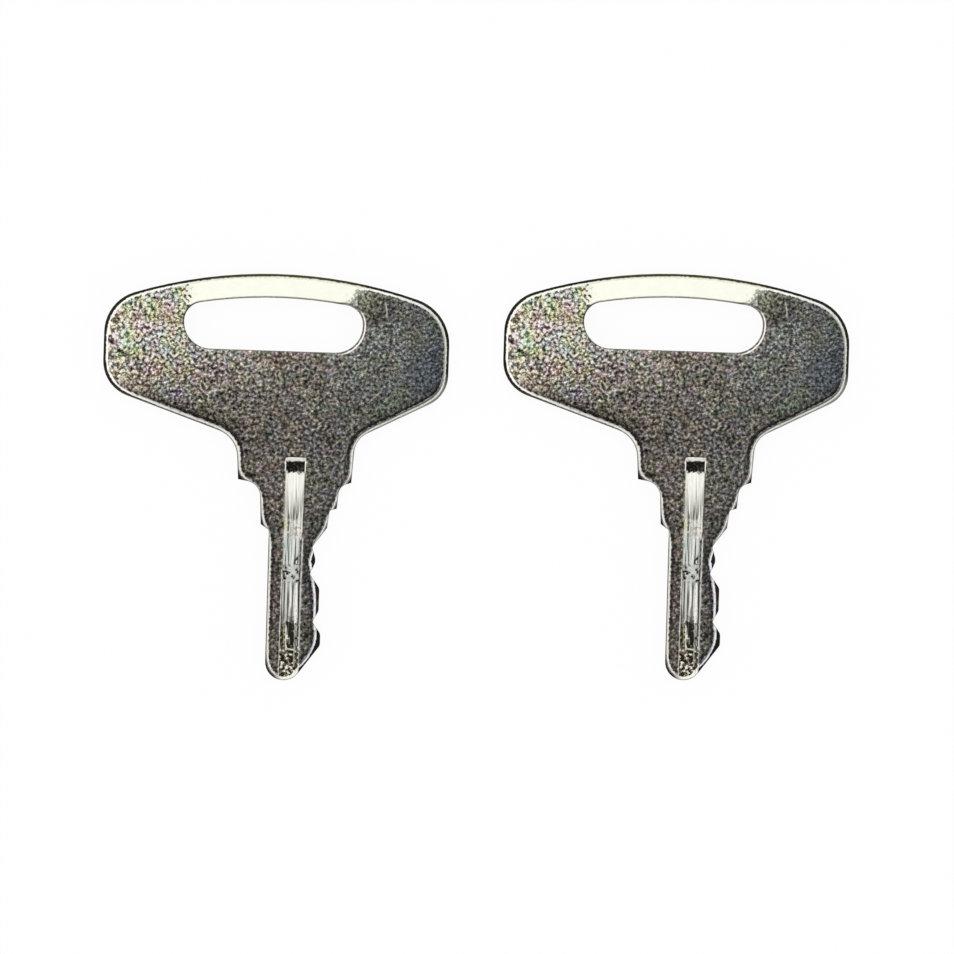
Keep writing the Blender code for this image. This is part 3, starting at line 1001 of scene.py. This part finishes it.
def sheared_wall():
    """Cut edge of the blank: fine shear marks over a duller broken band."""
    wall = Finish("sheared_wall", BROKEN_METAL)
    scored = wall.speckle(0.14, 2.0, (1.0, 1.0, 0.08))
    torn, cloud = wall.speckle(0.22, 3.0), wall.speckle(2.2, 2.0)
    burnished = (wall.z + 0.25 * (cloud - 0.5) + 0.1 * (scored - 0.5)).between(0.78, 0.98)
    wall.paint(burnished, BURNISHED_METAL)
    marks = scored * burnished + torn * (1 - burnished)
    wall.colour = wall.tint(wall.colour, marks.between(0.25, 0.75, 0.7, 1.3))
    return wall.metal(0.5 - 0.2 * burnished, marks, WALL_RELIEF)


class MilledGroove(Finish):
    """Milled floor: a run-out in painted shade, a painted glare at the start of the cut, long tool streaks
    and a torn end at the tip.
    """

    def __init__(self):
        super().__init__("milled_groove", STREAKS[0])
        self.across, self.along = groove_place(self.x, self.y)
        self.streaks = self.speckle(0.3, 1.0, (1.0, 0.06, 1.0))
        self.lines = self.speckle(0.17, 0.6, (1.0, 0.035, 1.0))
        self.torn, self.specks, self.worn = self.parts(self.speckle(0.36, 1.0, out=1))
        self.crumbs, self.glitter, self.rust = self.parts(self.speckle(0.36, 1.5, out=1))

    def made(self):
        """The whole finish, painted from the run-out to the tip and then along the edges."""
        self.tool_streaks()
        glare = self.painted_glare()
        chatter = self.chatter()
        self.torn_end()
        tip = self.crumbled_tip()
        self.lines_and_edges()
        return self.metal(0.46 + 0.06 * glare, self.streaks + (tip + chatter) * self.crumbs, GROOVE_RELIEF)

    def tool_streaks(self):
        """Long tool streaks, their pale tones painted reflection, with creamy blotches, dark gaps and a
        cool stretch in them.
        """
        along = self.along
        low_half = along.between(12.6, 13.6)
        # Tool streaks, real marks whose pale tones are painted reflection, dimmer in the low half
        self.paint((self.lines - 0.04 * low_half).between(0.4, 0.58), STREAKS[1])
        self.paint((self.streaks - 0.07 * low_half).between(0.5, 0.64), STREAK_REFLECTION)
        blotch = 0.8 * band(along, 6.6, 8.4, 0.3) * self.torn.between(0.44, 0.56)
        self.paint(blotch, self.mix(self.specks.between(0.4, 0.6), STREAK_REFLECTION, BLOTCH_CREAM))
        gaps = band(along, 6.4, 8.6, 0.3) * self.worn.between(0.38, 0.45, 1.0, 0.0)
        self.paint(0.45 * gaps, GAP_GREY)
        self.paint(0.15 * band(along, 8.2, 11.5, 0.6), COOL_TINGE, "COLOR")

    def painted_glare(self):
        """Painted reflection: a bright glare at the start of the cut, and painted glints below it; returns
        where the glare is.
        """
        along, streaks = self.along, self.streaks
        glare = along + 7.0 * (streaks - 0.5) + 3.0 * (self.lines - 0.5)
        glare = glare.between(3.2, 5.6, 1.0, 0.0)
        dimmest = along.between(1.5, 4.5, 0.95, 0.5)
        # Painted reflection: the glare at the start of the cut
        self.paint(glare, self.tint(GLARE_WHITE, streaks.between(0.3, 0.5, dimmest, 1.0)))
        # Painted glints of reflected light
        for middle, half_size, tint in GLINTS:
            self.paint(patch(self.across, along, middle, half_size), tint)
        return glare

    def chatter(self):
        """A net of chatter marks half way down; returns where it is."""
        chatter = band(self.along, 11.2, 13.2, 0.3)
        sockets = {"Vector": self.point, "Scale": 2.1}
        net = self.node("ShaderNodeTexVoronoi", {"feature": "DISTANCE_TO_EDGE"}, sockets)
        cells = self.tint(CHATTER_CELL, self.torn.between(0.35, 0.65, 0.3, 1.7))
        self.paint(chatter, self.mix(net.between(0.04, 0.2), CHATTER_NET, cells))
        self.paint(chatter * self.crumbs.between(0.36, 0.41, 1.0, 0.0), NEAR_BLACK)
        return chatter

    def torn_end(self):
        """Dark torn metal down the middle of the low end, and streaks on its left."""
        across, along, lines, specks = self.across, self.along, self.lines, self.specks
        core = band(across + 1.8 * (self.torn - 0.5), -0.34, 0.5, 0.1)
        core = core * (along + 3.0 * (lines - 0.5) + 2.0 * (specks - 0.5)).between(16.9, 17.7)
        core = core * (along + 0.8 * (self.worn - 0.5)).between(20.1, 20.3, 1.0, 0.0)
        self.paint(core, self.mix(lines.between(0.52, 0.68), NEAR_BLACK, CORE_GREY))
        side = across.between(-0.5, -0.44, 1.0, 0.0) * band(along, 17.6, 20.4, 0.3)
        self.paint(side, self.mix((lines + specks).between(0.9, 1.14), *SIDE_STREAKS))

    def crumbled_tip(self):
        """Rusty, glittering crumbs at the tip; returns where they are."""
        along = self.along
        tip = (along + 0.6 * (self.worn - 0.5)).between(20.3, 20.5)
        crumbled = self.mix(self.rust.between(0.46, 0.62), NEAR_BLACK, CRUMB_RUST)
        glints = (self.glitter + along.between(20.6, 22.4, -0.01, 0.0)).between(0.53, 0.59)
        # Painted glints of light on the crumbs
        self.paint(tip, self.mix(glints, crumbled, CRUMB_GLINT))
        return tip

    def lines_and_edges(self):
        """Lines along the floor, a painted highlight on the rolled tip and on the run-out's top edge, and
        painted shade along the rim and in the run-out's pocket.
        """
        along, specks = self.along, self.specks
        # Lines along the floor; the pale ones are painted highlights
        for points, width, tint in GROOVE_LINES:
            for start, end in zip(points, points[1:]):
                mark = scratch(self.across + 0.2 * (specks - 0.5), along, start, end, width)
                self.paint(mark * self.torn.between(0.3, 0.45, 0.4, 1.0), tint)
        # Painted highlight on the rolled tip
        self.paint(self.attribute("turn").between(0.16, 0.24), TIP_HIGHLIGHT)
        # Painted shade: a thin line along the rim
        self.paint(self.attribute("rim").between(0.06, 0.13, 0.7, 0.0), GROOVE_RIM_SHADE)
        pocket = (along + 1.2 * (self.worn - 0.5)).between(1.3, 1.6, 1.0, 0.0)
        # Painted shade in the pocket of the run-out
        self.paint(pocket, self.tint(POCKET_SHADE, specks.between(0.45, 0.7, 0.4, 3.0)))
        top_edge = (along + 0.3 * (specks - 0.5)).between(0.2, 0.34, 1.0, 0.0)
        # Painted highlight on the run-out's top edge
        self.paint(top_edge, LIP_HIGHLIGHT)


# Studio


def studio():
    """Soft light from all round, dim in the patch overhead that the flat fronts mirror."""
    world = bpy.data.worlds.new("studio")
    bpy.context.scene.world = world
    nodes = Nodes(world)
    up = nodes.node("ShaderNodeTexCoord", out="Generated")
    sockets = {0: up, 1: Vector(DIM_PATCH).normalized()}
    facing = nodes.node("ShaderNodeVectorMath", {"operation": "DOT_PRODUCT"}, sockets, out="Value")
    angle = facing.math("ARCCOSINE", facing) * (180 / math.pi)
    level = angle.between(10, 30, DIM_LEVEL, OPEN_LEVEL) - angle.between(50, 90, 0.0, LOW_LOSS)
    background = nodes.node("ShaderNodeBackground", {}, {"Color": (1, 1, 1, 1), "Strength": level})
    nodes.node("ShaderNodeOutputWorld", {}, {"Surface": background})


def white_floor():
    """White paper under the keys, which keeps a faint shadow of them."""
    half = FLOOR_HALF
    mesh = bpy.data.meshes.new("floor")
    corners = [(-half, -half, 0), (half, -half, 0), (half, half, 0), (-half, half, 0)]
    mesh.from_pydata(corners, [], [(0, 1, 2, 3)])
    floor = bpy.data.objects.new("floor", mesh)
    floor.location.z = -FLOOR_DROP * MM
    bpy.context.scene.collection.objects.link(floor)
    paper = bpy.data.materials.new("white_paper")
    nodes = Nodes(paper)
    seen = nodes.node("ShaderNodeLightPath", out="Is Camera Ray")
    mirrored = nodes.node("ShaderNodeLightPath", out="Is Glossy Ray")
    through = nodes.node("ShaderNodeLightPath", out="Is Transmission Ray")
    plain = nodes.node("ShaderNodeBsdfDiffuse", {}, {"Color": (FLOOR_SHADE, FLOOR_SHADE, FLOOR_SHADE, 1)})
    glow = nodes.node("ShaderNodeEmission", {}, {"Color": (1, 1, 1, 1), "Strength": 1.0})
    share = (seen + mirrored + through) * FLOOR_GLOW
    mixed = nodes.node("ShaderNodeMixShader", {}, {0: share, 1: plain, 2: glow})
    nodes.node("ShaderNodeOutputMaterial", {}, {"Surface": mixed})
    mesh.materials.append(paper)


def camera():
    """Straight above, without perspective."""
    data = bpy.data.cameras.new("camera")
    data.type = "ORTHO"
    data.ortho_scale = PHOTO_WIDTH
    data.clip_end = 10
    eye = bpy.data.objects.new("camera", data)
    eye.location = (*PHOTO_CENTRE, CAMERA_HEIGHT)
    bpy.context.scene.collection.objects.link(eye)
    bpy.context.scene.camera = eye


def keys():
    """Both keys, each plated key in place of its own solid."""
    finishes = [NickelFace().made(), sheared_wall(), MilledGroove().made()]
    for name, place in KEY_PLACE.items():
        build = KeyMesh(KeyShape(*outline_and_slot(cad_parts[name], place)))
        build.walls(build.front())
        key = bpy.data.objects.new(name + "_plated", build.mesh(name + "_plated", finishes))
        key.location = (place[0] * MM, place[1] * MM, 0)
        key.rotation_euler.z = KEY_TURN
        bpy.context.scene.collection.objects.link(key)
        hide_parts(name)
        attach(key, name)


bpy.context.scene.view_settings.view_transform = "Standard"
keys()
studio()
white_floor()
camera()
